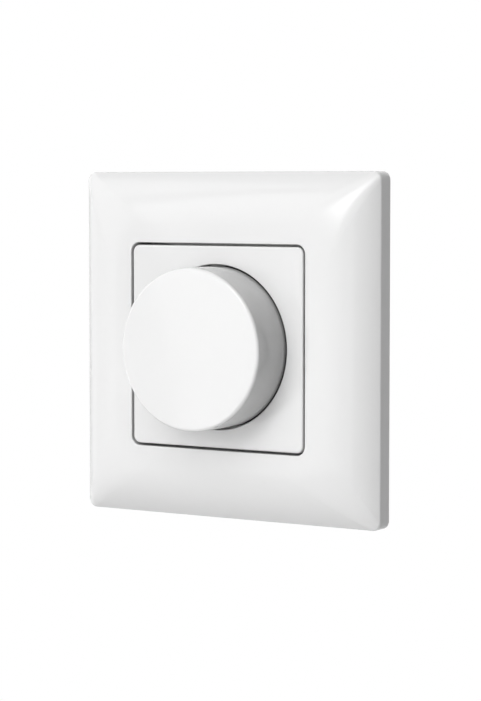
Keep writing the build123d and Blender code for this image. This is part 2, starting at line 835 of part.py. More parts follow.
with BuildPart() as switch_contacts:
    foot_rear = contact_top - contact_thickness
    with BuildSketch(level(foot_rear)):
        with Locations((contact_foot_x, 0), (-contact_foot_x, 0)):
            Rectangle(contact_foot, contact_width)
    bar(foot_rear, contact_top)
    with BuildSketch(level(foot_rear)):
        with Locations((contact_leg_x, 0), (-contact_leg_x, 0)):
            Rectangle(contact_thickness, contact_width)
    bar(foot_rear, board_front - running_fit)
switch_contacts.part.label = "switch_contacts"
export_step(switch_contacts.part, "parts/switch_contacts.step")

# Return spring: pushes the plunger, the shaft and the knob out again
spring_height = bridge_rear - base_top - spring_wire
with BuildPart() as return_spring:
    with BuildLine() as coil:
        Helix(
            pitch=spring_height / spring_turns,
            height=spring_height,
            radius=spring_diameter / 2,
            center=(0, -base_top - spring_wire / 2, 0),
            direction=(0, -1, 0),
        )
    with BuildSketch(Plane(origin=coil.line @ 0, z_dir=coil.line % 0)):
        RegularPolygon(spring_wire / 2, spring_wire_sides)
    sweep()
return_spring.part.label = "return_spring"
export_step(return_spring.part, "parts/return_spring.step")

# Triac: lies behind the strap, which takes its heat
tab_rear = -pad_thickness - tab_thickness
triac_rear = -pad_thickness - triac_thickness
with BuildPart() as triac:
    with BuildSketch(level(triac_rear)):
        with Locations((0, triac_start + triac_body / 2)):
            Rectangle(triac_width, triac_body)
    bar(triac_rear, -pad_thickness)
    chamfer(edges_at(triac, triac_rear), moulded_chamfer)
    with BuildSketch(level(tab_rear)):
        with Locations((0, triac_end - triac_tab / 2)):
            Rectangle(triac_width, triac_tab)
    bar(tab_rear, -pad_thickness)
    with BuildSketch(level(tab_rear)):
        with Locations((0, rivet_z)):
            Circle(rivet_diameter / 2 + running_fit)
    bar(tab_rear, -pad_thickness, Mode.SUBTRACT)
    with BuildSketch(level(board_rear - pin_reach)):
        with Locations(*triac_leads):
            Rectangle(triac_lead, triac_lead)
    bar(board_rear - pin_reach, -pad_thickness - triac_lead_depth)
triac.part.label = "triac"
export_step(triac.part, "parts/triac.step")

with BuildPart() as triac_pad:
    with BuildSketch(level(-pad_thickness)):
        with Locations((0, triac_start + triac_length / 2)):
            Rectangle(pad_width, triac_length)
        with Locations((0, rivet_z)):
            Circle(rivet_diameter / 2 + running_fit, mode=Mode.SUBTRACT)
    bar(-pad_thickness, 0)
triac_pad.part.label = "triac_pad"
export_step(triac_pad.part, "parts/triac_pad.step")

with BuildPart() as triac_rivet:
    with BuildSketch(level(tab_rear - rivet_head_height)):
        with Locations((0, rivet_z)):
            Circle(rivet_head / 2)
    bar(tab_rear - rivet_head_height, tab_rear)
    with BuildSketch(level(tab_rear)):
        with Locations((0, rivet_z)):
            Circle(rivet_diameter / 2)
    bar(tab_rear, strap_thickness)
    with BuildSketch(level(strap_thickness)):
        with Locations((0, rivet_z)):
            Circle(rivet_head / 2)
    bar(strap_thickness, strap_thickness + rivet_head_height)
    chamfer(edges_at(triac_rivet, strap_thickness + rivet_head_height), rivet_chamfer)
triac_rivet.part.label = "triac_rivet"
export_step(triac_rivet.part, "parts/triac_rivet.step")

# Choke: a ring core on the rear of the board with single wire turns round it
choke_front = board_rear - winding_wire - running_fit
with BuildPart() as choke_core:
    with BuildSketch(level(choke_front - choke_height)):
        with Locations((choke_x, 0)):
            Circle(choke_diameter / 2)
            Circle(choke_hole / 2, mode=Mode.SUBTRACT)
    bar(choke_front - choke_height, choke_front)
    rings = choke_core.edges().filter_by(GeomType.CIRCLE)
    chamfer(rings, choke_chamfer)
choke_core.part.label = "choke_core"
export_step(choke_core.part, "parts/choke_core.step")

ring_middle = (choke_diameter + choke_hole) / 4
ring_width = (choke_diameter - choke_hole) / 2 + 2 * running_fit
turn_height = choke_height + 2 * running_fit
turn_level = choke_front - choke_height / 2
with BuildPart() as choke_winding:
    for turn in range(winding_turns):
        angle = radians(90 + turn * 360 / winding_turns)
        outward = (cos(angle), 0, sin(angle))
        across = (-sin(angle), 0, cos(angle))
        centre = (choke_x + ring_middle * cos(angle), -turn_level, ring_middle * sin(angle))
        with BuildSketch(Plane(origin=centre, x_dir=outward, z_dir=across)):
            Rectangle(ring_width + 2 * winding_wire, turn_height + 2 * winding_wire)
            Rectangle(ring_width, turn_height, mode=Mode.SUBTRACT)
        extrude(amount=winding_wire / 2, both=True)
    with BuildSketch(level(board_rear)):
        with Locations(*choke_leads):
            Circle(lead_diameter / 2)
    bar(board_rear, board_front + pin_reach)
choke_winding.part.label = "choke_winding"
export_step(choke_winding.part, "parts/choke_winding.step")

# Film capacitor and timing capacitor: moulded boxes on two leads
with BuildPart() as film_capacitor:
    with BuildSketch(level(board_rear - film_height)):
        with Locations((film_x, film_z)):
            Rectangle(film_width, film_length)
    bar(board_rear - film_height, board_rear)
    fillet(film_capacitor.edges().filter_by(Axis.Y), film_corner)
    chamfer(edges_at(film_capacitor, board_rear - film_height), film_chamfer)
    with BuildSketch(level(board_rear)):
        with Locations(*film_leads):
            Circle(lead_diameter / 2)
    bar(board_rear, board_front + pin_reach)
film_capacitor.part.label = "film_capacitor"
export_step(film_capacitor.part, "parts/film_capacitor.step")

with BuildPart() as timing_capacitor:
    with BuildSketch(level(board_rear - timing_height)):
        with Locations((0, timing_z)):
            Rectangle(timing_length, timing_width)
    bar(board_rear - timing_height, board_rear)
    fillet(timing_capacitor.edges().filter_by(Axis.Y), timing_corner)
    with BuildSketch(level(board_rear)):
        with Locations(*timing_leads):
            Circle(lead_diameter / 2)
    bar(board_rear, board_front + pin_reach)
timing_capacitor.part.label = "timing_capacitor"
export_step(timing_capacitor.part, "parts/timing_capacitor.step")

# Trigger diode: a small axial body on two bent leads
diode_level = board_rear - diode_diameter / 2
with BuildPart() as trigger_diode:
    with BuildSketch(Plane.YZ.offset(-diode_length / 2)):
        with Locations((-diode_level, diode_z)):
            Circle(diode_diameter / 2)
    extrude(amount=diode_length)
    with BuildSketch(Plane.YZ.offset(-diode_lead_pitch / 2)):
        with Locations((-diode_level, diode_z)):
            Circle(lead_diameter / 2)
    extrude(amount=diode_lead_pitch)
    with BuildSketch(level(diode_level)):
        with Locations(*diode_leads):
            Circle(lead_diameter / 2)
    bar(diode_level, board_front + pin_reach)
trigger_diode.part.label = "trigger_diode"
export_step(trigger_diode.part, "parts/trigger_diode.step")

# Fuse: ceramic tube between two metal caps with leads
fuse_level = board_rear - fuse_stand_off - fuse_diameter / 2
tube_length = fuse_length - 2 * fuse_cap
with BuildPart() as fuse_tube:
    with BuildSketch(Plane.XY.offset(-tube_length / 2)):
        with Locations((fuse_x, -fuse_level)):
            Circle(fuse_diameter / 2 - fuse_cap_step)
    extrude(amount=tube_length)
fuse_tube.part.label = "fuse_tube"
export_step(fuse_tube.part, "parts/fuse_tube.step")

with BuildPart() as fuse_caps:
    for start in (-fuse_length / 2, tube_length / 2):
        with BuildSketch(Plane.XY.offset(start)):
            with Locations((fuse_x, -fuse_level)):
                Circle(fuse_diameter / 2)
        extrude(amount=fuse_cap)
    with BuildSketch(level(fuse_level)):
        with Locations(*fuse_leads):
            Circle(lead_diameter / 2)
    bar(fuse_level, board_front + pin_reach)
fuse_caps.part.label = "fuse_caps"
export_step(fuse_caps.part, "parts/fuse_caps.step")

# Terminal block with its cages and clamp screws
block_rear = board_rear - block_height
cage_rear = cage_level - cage_height / 2
head_front = cage_rear - clamp_neck
with BuildPart() as terminal_block:
    with BuildSketch(level(block_rear)):
        with Locations((0, block_front + block_depth / 2)):
            Rectangle(block_width, block_depth)
    bar(block_rear, board_rear)
    chamfer(edges_at(terminal_block, block_rear), moulded_chamfer)
    pocket = cage_inset + cage_length + running_fit
    with Locations(*[(x, -cage_level, block_front + pocket / 2) for x in pole_x]):
        Box(cage_width + 2 * running_fit, cage_height + 2 * running_fit, pocket, mode=Mode.SUBTRACT)
    with BuildSketch(level(block_rear)):
        with Locations(*[(x, clamp_z) for x in pole_x]):
            Circle(clamp_head / 2 + easy_fit)
    bar(block_rear, cage_rear, Mode.SUBTRACT)
terminal_block.part.label = "terminal_block"
export_step(terminal_block.part, "parts/terminal_block.step")

with BuildPart() as terminal_cages:
    with BuildSketch(Plane.XY.offset(cage_z - cage_length / 2)):
        with Locations(*[(x, -cage_level) for x in pole_x]):
            Rectangle(cage_width, cage_height)
            Rectangle(cage_width - 2 * cage_wall, cage_height - 2 * cage_wall, mode=Mode.SUBTRACT)
    extrude(amount=cage_length)
    with BuildSketch(level(cage_rear)):
        with Locations(*[(x, clamp_z) for x in pole_x]):
            Circle(clamp_diameter / 2 + running_fit)
    bar(cage_rear, cage_rear + cage_wall, Mode.SUBTRACT)
terminal_cages.part.label = "terminal_cages"
export_step(terminal_cages.part, "parts/terminal_cages.step")

with BuildPart() as clamp_screws:
    with BuildSketch(level(head_front)):
        with Locations(*[(x, clamp_z) for x in pole_x]):
            Circle(clamp_diameter / 2)
    bar(head_front, cage_rear + cage_wall + clamp_reach)
    with BuildSketch(level(head_front - clamp_head_height)):
        with Locations(*[(x, clamp_z) for x in pole_x]):
            Circle(clamp_head / 2)
    bar(head_front - clamp_head_height, head_front)
    with BuildSketch(level(head_front - clamp_head_height)):
        with Locations(*[(x, clamp_z) for x in pole_x]):
            Rectangle(clamp_head + easy_fit, cross_width)
    extrude(amount=cross_depth, mode=Mode.SUBTRACT)
clamp_screws.part.label = "clamp_screws"
export_step(clamp_screws.part, "parts/clamp_screws.step")
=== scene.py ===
"""Finishes, wire work, solder and a studio stage for a flush wall dimmer with a push-and-turn knob.

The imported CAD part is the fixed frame. Its nodes get their finishes here, and the pieces that are
wire or solder are made as such. Everything is in metres, with the wall in the plane Y = 0.
"""

import json
import math
from typing import NamedTuple

import bmesh
import bpy
from bpy.props import FloatProperty, FloatVectorProperty, IntProperty, PointerProperty
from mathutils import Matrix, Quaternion, Vector


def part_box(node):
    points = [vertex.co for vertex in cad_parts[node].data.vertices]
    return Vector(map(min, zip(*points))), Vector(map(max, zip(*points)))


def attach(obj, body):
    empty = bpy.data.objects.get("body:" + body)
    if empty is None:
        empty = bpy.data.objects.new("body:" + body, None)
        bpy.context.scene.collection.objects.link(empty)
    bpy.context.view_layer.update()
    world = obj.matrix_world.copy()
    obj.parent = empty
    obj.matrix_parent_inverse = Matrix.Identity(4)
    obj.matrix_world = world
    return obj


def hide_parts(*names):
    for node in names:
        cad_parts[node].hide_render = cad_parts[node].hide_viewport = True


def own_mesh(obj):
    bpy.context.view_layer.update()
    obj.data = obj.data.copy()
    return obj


bl_info = {
    "name": "Wall Dimmer",
    "version": (1, 0, 0),
    "blender": (4, 5, 0),
    "location": "View3D > Sidebar > Dimmer",
    "description": "Finishes a flush wall dimmer and sets up its studio stage",
    "category": "Object",
}

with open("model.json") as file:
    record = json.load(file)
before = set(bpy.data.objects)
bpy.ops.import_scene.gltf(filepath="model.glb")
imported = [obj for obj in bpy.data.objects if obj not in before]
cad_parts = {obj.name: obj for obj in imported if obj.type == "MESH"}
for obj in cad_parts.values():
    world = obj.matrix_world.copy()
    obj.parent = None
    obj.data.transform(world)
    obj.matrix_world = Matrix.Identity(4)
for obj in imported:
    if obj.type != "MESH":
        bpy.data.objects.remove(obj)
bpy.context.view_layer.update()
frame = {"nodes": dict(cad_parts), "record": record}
NODES = frame["nodes"]
SLOT_OF_NODE = {row["node"]: row["material_slot"] for row in frame["record"]["subparts"]}

WHITE = (1.0, 1.0, 1.0)
# Most values of a noise texture lie between these two
NOISE_LOW = 0.3
NOISE_HIGH = 0.7
# Metres from ridge to ridge of a wave texture at scale 1
WAVE_PITCH = 0.31


def middle(node):
    """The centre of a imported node's box."""
    low, high = (Vector(corner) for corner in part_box(node))
    return (low + high) / 2


def extent(node):
    """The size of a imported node's box."""
    low, high = (Vector(corner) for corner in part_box(node))
    return high - low


def shade(colour, amount):
    """A colour made darker or lighter by a factor."""
    return tuple(min(1.0, channel * amount) for channel in colour)


# Node helpers, each adding one idea to a material


class Finish:
    """A material under construction: its node tree, its shader and its coordinates."""

    def __init__(self, name):
        self.material = bpy.data.materials.new(name)
        self.material.use_nodes = True
        self.tree = self.material.node_tree
        self.tree.nodes.clear()
        self.output = self.add("ShaderNodeOutputMaterial")
        self.shader = self.add("ShaderNodeBsdfPrincipled")
        self.link(self.shader.outputs["BSDF"], self.output.inputs["Surface"])
        self.place = self.add("ShaderNodeTexCoord").outputs["Object"]

    def add(self, kind):
        """A new node of some kind."""
        return self.tree.nodes.new(kind)

    def link(self, source, target):
        """Joins a node's output to another node's input."""
        self.tree.links.new(source, target)

    def set(self, **values):
        """Constants on the shader's own sockets."""
        for socket, value in values.items():
            self.shader.inputs[socket.replace("_", " ")].default_value = value

    def stretched(self, stretch):
        """The part's coordinates, scaled per axis."""
        mapping = self.add("ShaderNodeMapping")
        mapping.inputs["Scale"].default_value = stretch
        self.link(self.place, mapping.inputs["Vector"])
        return mapping.outputs["Vector"]

    def noise(self, scale, detail=4.0, stretch=(1.0, 1.0, 1.0)):
        """Cloudy noise; scale counts features per metre."""
        node = self.add("ShaderNodeTexNoise")
        node.inputs["Scale"].default_value = scale
        node.inputs["Detail"].default_value = detail
        self.link(self.stretched(stretch), node.inputs["Vector"])
        return node.outputs["Fac"]

    def cells(self, scale):
        """Distance to the nearest of many scattered points; scale counts points per metre."""
        node = self.add("ShaderNodeTexVoronoi")
        node.inputs["Scale"].default_value = scale
        self.link(self.place, node.inputs["Vector"])
        return node.outputs["Distance"]

    def bands(self, direction, pitch):
        """Even ridges across one axis, such as a thread or a weave, with their pitch in metres."""
        node = self.add("ShaderNodeTexWave")
        node.bands_direction = direction
        node.inputs["Scale"].default_value = WAVE_PITCH / pitch
        self.link(self.place, node.inputs["Vector"])
        return node.outputs["Fac"]

    def spread(self, factor, low, high, start=NOISE_LOW, end=NOISE_HIGH):
        """A factor mapped from one range to another, held at its ends."""
        node = self.add("ShaderNodeMapRange")
        for socket, value in zip(("From Min", "From Max", "To Min", "To Max"), (start, end, low, high)):
            node.inputs[socket].default_value = value
        self.link(factor, node.inputs["Value"])
        return node.outputs["Result"]

    def product(self, first, second):
        """Two factors multiplied."""
        node = self.add("ShaderNodeMath")
        node.operation = "MULTIPLY"
        self.link(first, node.inputs[0])
        self.link(second, node.inputs[1])
        return node.outputs["Value"]

    def tint(self, factor, colour, dark, light, start=NOISE_LOW, end=NOISE_HIGH):
        """Colour that drifts between a darker and a lighter shade of itself."""
        ramp = self.add("ShaderNodeValToRGB")
        for element, position, amount in zip(ramp.color_ramp.elements, (start, end), (dark, light)):
            element.position = position
            element.color = (*shade(colour, amount), 1.0)
        self.link(factor, ramp.inputs["Fac"])
        self.link(ramp.outputs["Color"], self.shader.inputs["Base Color"])

    def tinted(self):
        """The colour that reaches the shader so far."""
        return self.shader.inputs["Base Color"].links[0].from_socket

    def painted_shade(self, reach, amount, unshaded_share):
        """Painted shade: darkens the colour where less than an unshaded share of the surroundings is open,
        within a reach, as in gaps and round the knob.
        """
        openness = self.add("ShaderNodeAmbientOcclusion")
        openness.inputs["Distance"].default_value = reach
        share = self.spread(openness.outputs["AO"], low=1.0 - amount, high=1.0, start=0.0, end=unshaded_share)
        darker = self.add("ShaderNodeVectorMath")
        darker.operation = "MULTIPLY"
        self.link(self.tinted(), darker.inputs[0])
        self.link(share, darker.inputs[1])
        self.link(darker.outputs["Vector"], self.shader.inputs["Base Color"])

    def tin_leads(self, level, colour):
        """Turns what lies in front of a level, which is the leads, to bare metal."""
        split = self.add("ShaderNodeSeparateXYZ")
        self.link(self.place, split.inputs["Vector"])
        in_front = self.add("ShaderNodeMath")
        in_front.operation = "LESS_THAN"
        in_front.inputs[1].default_value = level
        self.link(split.outputs["Y"], in_front.inputs[0])
        painted = self.add("ShaderNodeMixRGB")
        painted.inputs["Color2"].default_value = (*colour, 1.0)
        self.link(in_front.outputs["Value"], painted.inputs["Fac"])
        self.link(self.tinted(), painted.inputs["Color1"])
        self.link(painted.outputs["Color"], self.shader.inputs["Base Color"])
        self.link(in_front.outputs["Value"], self.shader.inputs["Metallic"])

    def gloss(self, factor, roughness, below, above):
        """Roughness that drifts from a little below its plain value to a little above it."""
        drift = self.spread(factor, roughness - below, roughness + above)
        self.link(drift, self.shader.inputs["Roughness"])

    def relief(self, factor, strength, height):
        """Bump, with its height in metres."""
        bump = self.add("ShaderNodeBump")
        bump.inputs["Strength"].default_value = strength
        bump.inputs["Distance"].default_value = height
        self.link(factor, bump.inputs["Height"])
        self.link(bump.outputs["Normal"], self.shader.inputs["Normal"])


# Finishes, one function each


def white_moulding(name, colour, roughness, reach, painted_shade, unshaded_share):
    """Polished white moulding with a faint flow tone, hairline polish marks and painted shade where the
    surroundings close in.
    """
    finish = Finish(name)
    finish.tint(finish.noise(scale=45.0), colour, dark=0.985, light=1.0)
    # Painted shade, darkest in gaps and joints and where the surroundings close in
    finish.painted_shade(reach, painted_shade, unshaded_share)
    finish.gloss(finish.noise(scale=700.0), roughness, below=0.02, above=0.02)
    finish.relief(finish.noise(scale=2500.0, detail=2.0), strength=0.03, height=0.00002)
    finish.set(IOR=1.49)
    return finish.material


def grained_moulding(name, colour, roughness):
    """Technical moulding with a spark-eroded grain and slightly paler flow marks."""
    finish = Finish(name)
    finish.tint(finish.noise(scale=900.0, detail=3.0), colour, dark=0.94, light=1.06)
    finish.gloss(finish.noise(scale=1800.0), roughness, below=0.07, above=0.07)
    finish.relief(finish.noise(scale=3600.0, detail=3.0), strength=0.5, height=0.00005)
    return finish.material


def rolled_steel(name, colour, roughness):
    """Zinc-plated sheet with rolling lines and a soft crystal pattern."""
    finish = Finish(name)
    finish.set(Metallic=1.0)
    finish.tint(finish.cells(scale=900.0), colour, dark=0.93, light=1.05, start=0.1, end=0.8)
    streaks = finish.noise(scale=240.0, detail=5.0, stretch=(1.0, 1.0, 14.0))
    finish.gloss(streaks, roughness, below=0.08, above=0.08)
    rolling_lines = finish.noise(scale=700.0, detail=3.0, stretch=(1.0, 1.0, 9.0))
    finish.relief(rolling_lines, strength=0.25, height=0.00003)
    return finish.material


def bright_plate(name, colour, roughness, thread_pitch):
    """Bright zinc on wire and turned pieces, with the ridges of a fine thread."""
    finish = Finish(name)
    finish.set(Metallic=1.0)
    finish.tint(finish.noise(scale=600.0), colour, dark=0.82, light=1.06)
    finish.gloss(finish.noise(scale=1600.0), roughness, below=0.08, above=0.08)
    finish.relief(finish.bands("Y", thread_pitch), strength=0.2, height=thread_pitch / 5)
    return finish.material


def turned_brass(name, colour, roughness):
    """Brass with turning lines and a thin uneven tarnish."""
    finish = Finish(name)
    finish.set(Metallic=1.0)
    finish.tint(finish.noise(scale=420.0), colour, dark=0.78, light=1.05)
    finish.gloss(finish.noise(scale=900.0), roughness, below=0.08, above=0.1)
    turning_lines = finish.noise(scale=900.0, detail=3.0, stretch=(1.0, 12.0, 1.0))
    finish.relief(turning_lines, strength=0.3, height=0.00003)
    return finish.material


def enamelled_wire(name, colour, roughness):
    """Copper under a clear lacquer that is thicker in places."""
    finish = Finish(name)
    finish.set(Metallic=1.0, Coat_Weight=0.6, Coat_Roughness=0.12)
    finish.tint(finish.noise(scale=700.0), colour, dark=0.7, light=1.08)
    finish.gloss(finish.noise(scale=1500.0), roughness, below=0.06, above=0.08)
    finish.relief(finish.noise(scale=2600.0, detail=2.0), strength=0.15, height=0.00003)
    return finish.material


def laminate(name, colour, roughness):
    """Lacquered board with raised tracks under the lacquer."""
    finish = Finish(name)
    tracks = finish.add("ShaderNodeTexBrick")
    tracks.inputs["Scale"].default_value = 90.0
    tracks.inputs["Mortar Size"].default_value = 0.045
    finish.link(finish.place, tracks.inputs["Vector"])
    finish.tint(tracks.outputs["Fac"], colour, dark=1.0, light=1.7, start=0.2, end=0.8)
    finish.gloss(finish.noise(scale=800.0), roughness, below=0.05, above=0.08)
    finish.relief(tracks.outputs["Fac"], strength=0.6, height=0.00004)
    return finish.material


def sintered(name, colour, roughness):
    """Pressed and fired powder: dull, speckled and slightly pitted."""
    finish = Finish(name)
    finish.tint(finish.noise(scale=4200.0, detail=3.0), colour, dark=0.75, light=1.3)
    finish.gloss(finish.noise(scale=900.0), roughness, below=0.06, above=0.06)
    finish.relief(finish.cells(scale=2600.0), strength=0.35, height=0.00005)
    return finish.material


def woven_pad(name, colour, roughness, weave_pitch):
    """Silicone on a glass weave."""
    finish = Finish(name)
    weave = finish.product(finish.bands("X", weave_pitch), finish.bands("Z", weave_pitch))
    finish.tint(weave, colour, dark=0.85, light=1.08, start=0.1, end=0.9)
    finish.gloss(finish.noise(scale=900.0), roughness, below=0.05, above=0.05)
    finish.relief(weave, strength=0.5, height=0.00004)
    return finish.material


def dipped_case(name, colour, roughness, lead_colour):
    """Glossy moulded case with a soft orange-peel skin, on tinned leads."""
    finish = Finish(name)
    finish.tint(finish.noise(scale=260.0), colour, dark=0.85, light=1.15)
    board_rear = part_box("circuit_board")[1][1]
    finish.tin_leads(board_rear, lead_colour)
    finish.gloss(finish.noise(scale=700.0), roughness, below=0.05, above=0.07)
    finish.relief(finish.noise(scale=1100.0, detail=2.0), strength=0.25, height=0.00005)
    return finish.material


def printed_track(name, colour, roughness):
    """Carbon film with the streaks that the wiper leaves."""
    finish = Finish(name)
    finish.tint(finish.noise(scale=1400.0), colour, dark=0.7, light=1.5)
    finish.gloss(finish.noise(scale=500.0), roughness, below=0.15, above=0.1)
    finish.relief(finish.noise(scale=3000.0), strength=0.3, height=0.00003)
    return finish.material


def soft_solder(name, colour, roughness):
    """Solder: bright, with a slightly frosted skin."""
    finish = Finish(name)
    finish.set(Metallic=1.0)
    finish.tint(finish.noise(scale=1800.0), colour, dark=0.8, light=1.05)
    finish.gloss(finish.noise(scale=2600.0), roughness, below=0.08, above=0.12)
    finish.relief(finish.noise(scale=3200.0), strength=0.3, height=0.00004)
    return finish.material


def finish_of_slot(slot):
    """The material of one of the record's slots, or of the solder, made on first use."""
    name = slot + "_finish"
    if name in bpy.data.materials:
        return bpy.data.materials[name]
    look = bpy.context.scene.dimmer_look
    makers = {
        # The white front carries painted shade in its gaps and round the knob's base
        "white_front": lambda: white_moulding(
            name, look.front_colour, look.front_roughness, reach=0.012, painted_shade=0.35, unshaded_share=0.7
        ),
        # The knob carries heavy painted shade over a long reach, which darkens its side towards the plate
        "white_knob": lambda: white_moulding(
            name, look.knob_colour, look.front_roughness, reach=0.03, painted_shade=0.95, unshaded_share=1.0
        ),
        "strap_steel": lambda: rolled_steel(name, look.steel_colour, roughness=0.36),
        "plated_steel": lambda: bright_plate(
            name, look.plate_colour, roughness=0.28, thread_pitch=look.thread_pitch
        ),
        "brass": lambda: turned_brass(name, look.brass_colour, roughness=0.3),
        "copper_wire": lambda: enamelled_wire(name, look.copper_colour, roughness=0.25),
        "grey_casing": lambda: grained_moulding(name, look.casing_colour, roughness=0.5),
        "black_moulding": lambda: grained_moulding(name, look.black_colour, roughness=0.55),
        "board_laminate": lambda: laminate(name, look.board_colour, roughness=0.35),
        "ferrite": lambda: sintered(name, look.ferrite_colour, roughness=0.6),
        "silicone_pad": lambda: woven_pad(name, look.pad_colour, roughness=0.6, weave_pitch=0.0005),
        "capacitor_case": lambda: dipped_case(
            name, look.capacitor_colour, roughness=0.28, lead_colour=look.solder_colour
        ),
        "ceramic": lambda: sintered(name, look.ceramic_colour, roughness=0.45),
        "carbon_track": lambda: printed_track(name, look.track_colour, roughness=0.55),
        "solder": lambda: soft_solder(name, look.solder_colour, roughness=0.25),
    }
    return makers[slot]()


def dress(*nodes):
    """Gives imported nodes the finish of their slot."""
    for node in nodes:
        piece = NODES[node]
        piece.data.materials.clear()
        piece.data.materials.append(finish_of_slot(SLOT_OF_NODE[node]))


# Mesh helpers


def piece_from_bmesh(name, mesh, slot, body):
    """Turns a bmesh into a smooth piece with a finish, riding on a body.
    """
    data = bpy.data.meshes.new(name)
    mesh.to_mesh(data)
    mesh.free()
    for face in data.polygons:
        face.use_smooth = True
    piece = bpy.data.objects.new(name, data)
    bpy.context.scene.collection.objects.link(piece)
    data.materials.append(finish_of_slot(slot))
    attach(piece, body)
    return piece


def add_ring(mesh, centre, side, across, radius, sides):
    """Adds a circle of vertices to a bmesh, in the plane of two directions."""
    ring = []
    for step in range(sides):
        turn = math.tau * step / sides
        outward = side * math.cos(turn) + across * math.sin(turn)
        ring.append(mesh.verts.new(centre + outward * radius))
    return ring


def add_skin(mesh, rings):
    """Joins a row of rings in a bmesh to a closed skin."""
    sides = len(rings[0])
    for first, second in zip(rings, rings[1:]):
        for step in range(sides):
            following = (step + 1) % sides
            mesh.faces.new((first[step], first[following], second[following], second[step]))
    mesh.faces.new(reversed(rings[0]))
    mesh.faces.new(rings[-1])


def add_wire(mesh, points, radius, sides=12):
    """Adds round wire along points to a bmesh, with closed ends."""
    rings = []
    side = (points[1] - points[0]).orthogonal()
    for index, point in enumerate(points):
        ahead = points[min(index + 1, len(points) - 1)]
        behind = points[max(index - 1, 0)]
        along = (ahead - behind).normalized()
        side = (side - along * side.dot(along)).normalized()
        rings.append(add_ring(mesh, point, side, along.cross(side), radius, sides))
    add_skin(mesh, rings)


def add_turned(mesh, profile, place, axis, sides=16):
    """Adds a turned form to a bmesh: profile holds (radius, height) pairs along the axis."""
    to_axis = Vector((0, 0, 1)).rotation_difference(axis)
    side = to_axis @ Vector((1, 0, 0))
    across = to_axis @ Vector((0, 1, 0))
    rings = []
    for radius, height in profile:
        rings.append(add_ring(mesh, place + axis * height, side, across, radius, sides))
    add_skin(mesh, rings)


# What a user would change


class DimmerLook(bpy.types.PropertyGroup):
    """Colours and surface values of the finishes."""

    front_colour: FloatVectorProperty(
        name="Front",
        description="Colour of the frame and the plate",
        subtype="COLOR",
        default=(0.827, 0.827, 0.827),
    )
    knob_colour: FloatVectorProperty(
        name="Knob",
        description="Colour of the knob",
        subtype="COLOR",
        default=(0.865, 0.865, 0.865),
    )
    front_roughness: FloatProperty(
        name="Front roughness",
        description="Roughness of the white mouldings",
        subtype="FACTOR",
        default=0.04,
    )
    casing_colour: FloatVectorProperty(
        name="Casing",
        description="Colour of the casing in the wall",
        subtype="COLOR",
        default=(0.22, 0.22, 0.23),
    )
    black_colour: FloatVectorProperty(
        name="Black",
        description="Colour of the black mouldings",
        subtype="COLOR",
        default=(0.05, 0.05, 0.055),
    )
    steel_colour: FloatVectorProperty(
        name="Strap",
        description="Colour of the strap's plating",
        subtype="COLOR",
        default=(0.62, 0.63, 0.64),
    )
    plate_colour: FloatVectorProperty(
        name="Zinc",
        description="Colour of screws and wire",
        subtype="COLOR",
        default=(0.68, 0.68, 0.69),
    )
    brass_colour: FloatVectorProperty(
        name="Brass",
        description="Colour of contacts and turned pieces",
        subtype="COLOR",
        default=(0.78, 0.62, 0.32),
    )
    copper_colour: FloatVectorProperty(
        name="Copper",
        description="Colour of the winding",
        subtype="COLOR",
        default=(0.72, 0.36, 0.2),
    )
    board_colour: FloatVectorProperty(
        name="Board",
        description="Colour of the circuit board",
        subtype="COLOR",
        default=(0.1, 0.28, 0.16),
    )
    ferrite_colour: FloatVectorProperty(
        name="Ferrite",
        description="Colour of the choke core",
        subtype="COLOR",
        default=(0.12, 0.12, 0.13),
    )
    pad_colour: FloatVectorProperty(
        name="Pad",
        description="Colour of the heat pad",
        subtype="COLOR",
        default=(0.55, 0.56, 0.6),
    )
    capacitor_colour: FloatVectorProperty(
        name="Capacitors",
        description="Colour of the capacitor cases",
        subtype="COLOR",
        default=(0.16, 0.26, 0.48),
    )
    ceramic_colour: FloatVectorProperty(
        name="Ceramic",
        description="Colour of the fuse and the diode",
        subtype="COLOR",
        default=(0.85, 0.83, 0.78),
    )
    track_colour: FloatVectorProperty(
        name="Track",
        description="Colour of the resistance track",
        subtype="COLOR",
        default=(0.12, 0.1, 0.09),
    )
    solder_colour: FloatVectorProperty(
        name="Solder",
        description="Colour of the solder",
        subtype="COLOR",
        default=(0.7, 0.71, 0.72),
    )
    thread_pitch: FloatProperty(
        name="Thread pitch",
        description="Pitch of the screw threads",
        unit="LENGTH",
        default=0.0005,
        precision=5,
    )


class DimmerWire(bpy.types.PropertyGroup):
    """Sizes of the wire pieces and of the solder."""

    spring_wire: FloatProperty(
        name="Spring wire",
        description="Diameter of the spring's wire",
        unit="LENGTH",
        default=0.00045,
        precision=5,
    )
    spring_turns: FloatProperty(
        name="Spring turns",
        description="Turns of the return spring",
        default=4.5,
    )
    winding_wire: FloatProperty(
        name="Winding wire",
        description="Diameter of the winding's wire",
        unit="LENGTH",
        default=0.0007,
        precision=5,
    )
    winding_turns: IntProperty(
        name="Winding turns",
        description="Turns round the choke core",
        default=18,
    )
    core_hole: FloatProperty(
        name="Core hole",
        description="Diameter of the choke core's hole",
        unit="LENGTH",
        default=0.006,
        precision=5,
    )
    solder_radius: FloatProperty(
        name="Solder radius",
        description="Radius of a solder joint",
        unit="LENGTH",
        default=0.0009,
        precision=5,
    )
    solder_height: FloatProperty(
        name="Solder height",
        description="Height of a solder joint",
        unit="LENGTH",
        default=0.0008,
        precision=5,
    )


